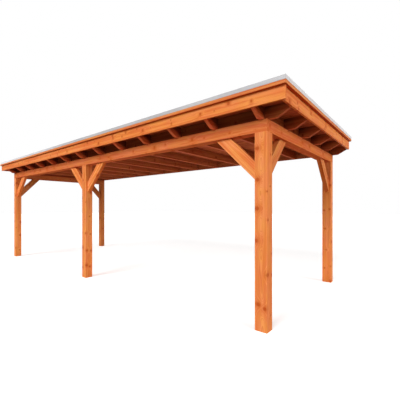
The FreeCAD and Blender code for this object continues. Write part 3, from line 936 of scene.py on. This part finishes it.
def sheet_material():
    material, b, shader = new_material("black_rubber_sheet")
    place = b.node("ShaderNodeTexCoord").outputs["Object"]
    dust = b.node("ShaderNodeGroup", {"Place": place, "Patch": RUBBER_PATCH}, node_tree=dust_tree).outputs
    colour = b.mix(b.math("MULTIPLY", dust["Dust"], RUBBER_DUSTY), RUBBER, RUBBER_DUST)
    colour = b.mix(b.math("MULTIPLY", dust["Specks"], RUBBER_SPECKLED), colour, RUBBER_SPECKS)
    dress(b, shader, colour, b.smooth(dust["Dust"], 0, 1, *RUBBER_ROUGHNESS), satin=0.2,
          height=b.noise(place, RUBBER_GRAIN, 1.0), relief=0.25, depth=0.0003)
    return material


def trim_material():
    material, b, shader = new_material("mill_aluminium")
    place = b.node("ShaderNodeAttribute", attribute_name="log_place").outputs["Vector"]
    tone = b.node("ShaderNodeAttribute", attribute_name="piece_tone").outputs["Fac"]
    outdoors = b.node("ShaderNodeTexCoord").outputs["Object"]
    dust = b.node("ShaderNodeGroup", {"Place": outdoors, "Patch": METAL_PATCH},
                  node_tree=dust_tree).outputs["Dust"]
    lines = b.noise(place, ROLLING_LINES, 3.0)
    colour = b.mix(b.smooth(b.noise(place, METAL_CLOUDS), *METAL_CLOUD_EDGE), METAL_DARK, METAL_LIGHT)
    colour = b.mix(b.math("MULTIPLY", lines, METAL_LINED), colour, METAL_LINES)
    colour = b.mix(b.math("MULTIPLY", dust, METAL_DUSTY), colour, METAL_DUST)
    # piece_tone carries a painted reflection: lighter at the front trim's far end and along the sides.
    bright = b.node("ShaderNodeHueSaturation", {"Color": colour, "Value": tone})
    roughness = b.weighted(METAL_ROUGHNESS, (lines, LINES_ROUGHER), (dust, DUST_ROUGHER))
    dress(b, shader, bright.outputs["Color"], roughness, satin=0.7, height=lines, relief=0.15, depth=0.0002)
    b.feed(shader["Metallic"], METALLIC)
    return material


FINISH["membrane"] = sheet_material()
FINISH["edge_trim"] = trim_material()
print("finishes for", ", ".join(sorted(FINISH)))

# %% [markdown]
# The rubber sheet lies in the roof like a shallow tray: it covers the boards, turns up all round and laps
# over the battens. A box would have hard corners, but rubber bends in a soft curve and never lies quite
# flat. So the sheet is a set of rings, from the outer edge in over the batten and down to the boards,
# with a grid for the floor, and a slow noise lifts it by a few millimetres here and there.

# %% Roof sheet
SKIN = 0.0015
FRONT_AND_SIDE_EDGE = 0.064
REAR_EDGE = 0.028
TOP_BEND = 0.008
FLOOR_BEND = 0.020
BEND_STEPS = 4
CELLS_X = 110
CELLS_Y = 44
LIFT = 0.004
SLOW_SHARE = 0.6
SLOW_NOISE = (1.1, 1.6, 3.7)
QUICK_NOISE = (4.3, 3.1, 9.2)
low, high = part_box("roof_membrane")


def sheet_section():
    """Points of the sheet's section: share of the edge's width, distance further in, and height."""
    top = high.z
    points = [(0.0, 0.0, top), (0.5, 0.0, top)]
    for step in range(BEND_STEPS + 1):
        angle = math.pi / 2 * step / BEND_STEPS
        points.append((1.0, -TOP_BEND + TOP_BEND * math.sin(angle) + SKIN,
                       top - TOP_BEND + TOP_BEND * math.cos(angle)))
    points.append((1.0, SKIN, (top + low.z) / 2))
    for step in range(BEND_STEPS + 1):
        angle = math.pi / 2 * step / BEND_STEPS
        points.append((1.0, SKIN + FLOOR_BEND - FLOOR_BEND * math.cos(angle),
                       low.z + SKIN + FLOOR_BEND - FLOOR_BEND * math.sin(angle)))
    return points


def sheet_point(i, j, share, inward, z):
    """A point of the ring or grid at cell i, j between the insets that a section point gives."""
    side = FRONT_AND_SIDE_EDGE * share + inward
    rear = REAR_EDGE * share + inward
    x = low.x + side + (high.x - low.x - 2 * side) * i / CELLS_X
    y = low.y + side + (high.y - low.y - side - rear) * j / CELLS_Y
    return Vector((x, y, z))


def ring_cells():
    """Grid cells of the rim, in order round the sheet."""
    front = [(i, 0) for i in range(CELLS_X)]
    right = [(CELLS_X, j) for j in range(CELLS_Y)]
    rear = [(i, CELLS_Y) for i in range(CELLS_X, 0, -1)]
    left = [(0, j) for j in range(CELLS_Y, 0, -1)]
    return front + right + rear + left


def rumple(point, waves_x, waves_y, slice_at):
    """A noise over the roof, so many waves to the metre along each side."""
    return noise.noise(Vector((point.x * waves_x, point.y * waves_y, slice_at)))


def rumpled(point):
    """The point, lifted where a slow and a quick noise add up to more than nothing."""
    total = SLOW_SHARE * rumple(point, *SLOW_NOISE) + (1 - SLOW_SHARE) * rumple(point, *QUICK_NOISE)
    return point + LIFT * max(0.0, total) * Z


bm = bmesh.new()
section = sheet_section()
rim = ring_cells()
rings = [[bm.verts.new(sheet_point(i, j, *spot)) for i, j in rim] for spot in section]
for outer, inner in zip(rings, rings[1:]):
    for index in range(len(rim)):
        after = (index + 1) % len(rim)
        bm.faces.new((outer[index], outer[after], inner[after], inner[index]))
grid = dict(zip(rim, rings[-1]))
for i in range(1, CELLS_X):
    for j in range(1, CELLS_Y):
        grid[i, j] = bm.verts.new(rumpled(sheet_point(i, j, *section[-1])))
for i in range(CELLS_X):
    for j in range(CELLS_Y):
        bm.faces.new((grid[i, j], grid[i + 1, j], grid[i + 1, j + 1], grid[i, j + 1]))
bmesh.ops.recalc_face_normals(bm, faces=bm.faces)
if sum(f.normal.z for f in bm.faces) < 0:
    bmesh.ops.reverse_faces(bm, faces=bm.faces)
for face in bm.faces:
    face.smooth = True
mesh = bpy.data.meshes.new("roof_membrane.sheet")
bm.to_mesh(mesh)
bm.free()
sheet = show(mesh, "roof_membrane.sheet", "membrane", "roof_membrane")
skin = sheet.modifiers.new("skin", "SOLIDIFY")
skin.thickness = SKIN
skin.offset = -1
print("roof sheet has", len(mesh.polygons), "faces before its thickness")

# %% [markdown]
# The aluminium trim finishes the roof's edge: a face with a folded lip, a ridge that keeps the rain in,
# and a flange that lies on the roof sheet. It is a long extrusion, so it is made like one: a section with
# rounded bends, drawn out along each side and mitred at the front corners. In the photo the far end of
# the front trim is lighter, where the metal mirrors the open sky, so its tone rises towards that end as a
# painted reflection; the side trims are lighter all along, a painted reflection too.

# %% Edge trims
TRIM_SKIN = 0.002
TRIM_LIP = 0.019
TRIM_RIDGE = 0.010
OUTER_BEND = 0.0020
INNER_BEND = 0.0015
FOOT_EDGE = 0.0008
FLANGE_EDGE = 0.0006
TRIM_STEPS = 3
FRONT_REFLECTION_TONES = [(0, 1.8), (0.12, 1.7), (0.3, 1.4), (0.5, 1.06), (1, 0.97)]
SIDE_REFLECTION_TONES = [(0, 1.6), (1, 1.6)]


def rounded(points, radii):
    """A closed section with its corners rounded."""
    made = []
    for index, (corner, bend) in enumerate(zip(points, radii)):
        corner = Vector(corner)
        if bend == 0:
            made.append(corner)
            continue
        before = (Vector(points[index - 1]) - corner).normalized()
        after = (Vector(points[(index + 1) % len(points)]) - corner).normalized()
        centre = corner + (before + after) * bend
        first = corner + before * bend - centre
        last = corner + after * bend - centre
        between = [first.slerp(last, step / TRIM_STEPS) for step in range(1, TRIM_STEPS)]
        made += [centre + spoke.normalized() * bend for spoke in (first, *between, last)]
    return made


def trim_section(height, reach):
    """The trim's section as (inward, up) from the foot of its outer face."""
    flange = TRIM_LIP + SKIN
    points = [
        (0, 0), (TRIM_SKIN, 0), (TRIM_SKIN, height - TRIM_SKIN), (TRIM_RIDGE - TRIM_SKIN, height - TRIM_SKIN),
        (TRIM_RIDGE - TRIM_SKIN, flange), (reach, flange), (reach, flange + TRIM_SKIN),
        (TRIM_RIDGE, flange + TRIM_SKIN), (TRIM_RIDGE, height), (0, height),
    ]
    radii = [FOOT_EDGE, FOOT_EDGE, 0, 0, 0, FLANGE_EDGE, FLANGE_EDGE, INNER_BEND, OUTER_BEND, OUTER_BEND]
    return rounded(points, radii)


front_low, front_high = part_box("edge_trim_front")
side_low, side_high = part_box("edge_trim_left")
section = trim_section(front_high.z - front_low.z, front_high.y - front_low.y)


def add_trim(node, start, along, inward, length, mitres, reflection_tones):
    """Draw the section out along a side, with a painted reflection tone for each share of its length.

    mitres says at which ends it is cut back at 45 degrees.
    """
    bm = bmesh.new()
    place = bm.verts.layers.float_vector.new("log_place")
    reflection_layer = bm.verts.layers.float.new("piece_tone")
    rings = []
    for share, tone in reflection_tones:
        ring = []
        for inset, up in section:
            s = share * length
            if share == 0 and mitres[0]:
                s += inset + MITRE_GAP
            if share == 1 and mitres[1]:
                s -= inset + MITRE_GAP
            vert = bm.verts.new(start + along * s + inward * inset + Z * up)
            vert[place] = (inset, up, s)
            vert[reflection_layer] = tone
            ring.append(vert)
        rings.append(ring)
    for first, last in zip(rings, rings[1:]):
        for index in range(len(section)):
            after = (index + 1) % len(section)
            face = bm.faces.new((first[index], first[after], last[after], last[index]))
            face.smooth = (first[index].co - first[after].co).length < OUTER_BEND
    bm.faces.new(list(reversed(rings[0])))
    bm.faces.new(rings[-1])
    bmesh.ops.recalc_face_normals(bm, faces=bm.faces)
    mesh = bpy.data.meshes.new(f"{node}.metal")
    bm.to_mesh(mesh)
    bm.free()
    show(mesh, f"{node}.metal", "edge_trim", node)


right_start = Vector((front_high.x, front_low.y, front_low.z))
front_length = front_high.x - front_low.x
side_length = side_high.y - side_low.y
add_trim("edge_trim_front", front_low, X, Y, front_length, (True, True), FRONT_REFLECTION_TONES)
add_trim("edge_trim_left", front_low, Y, X, side_length, (True, False), SIDE_REFLECTION_TONES)
add_trim("edge_trim_right", right_start, Y, -X, side_length, (True, False), SIDE_REFLECTION_TONES)
print("trim section has", len(section), "points")
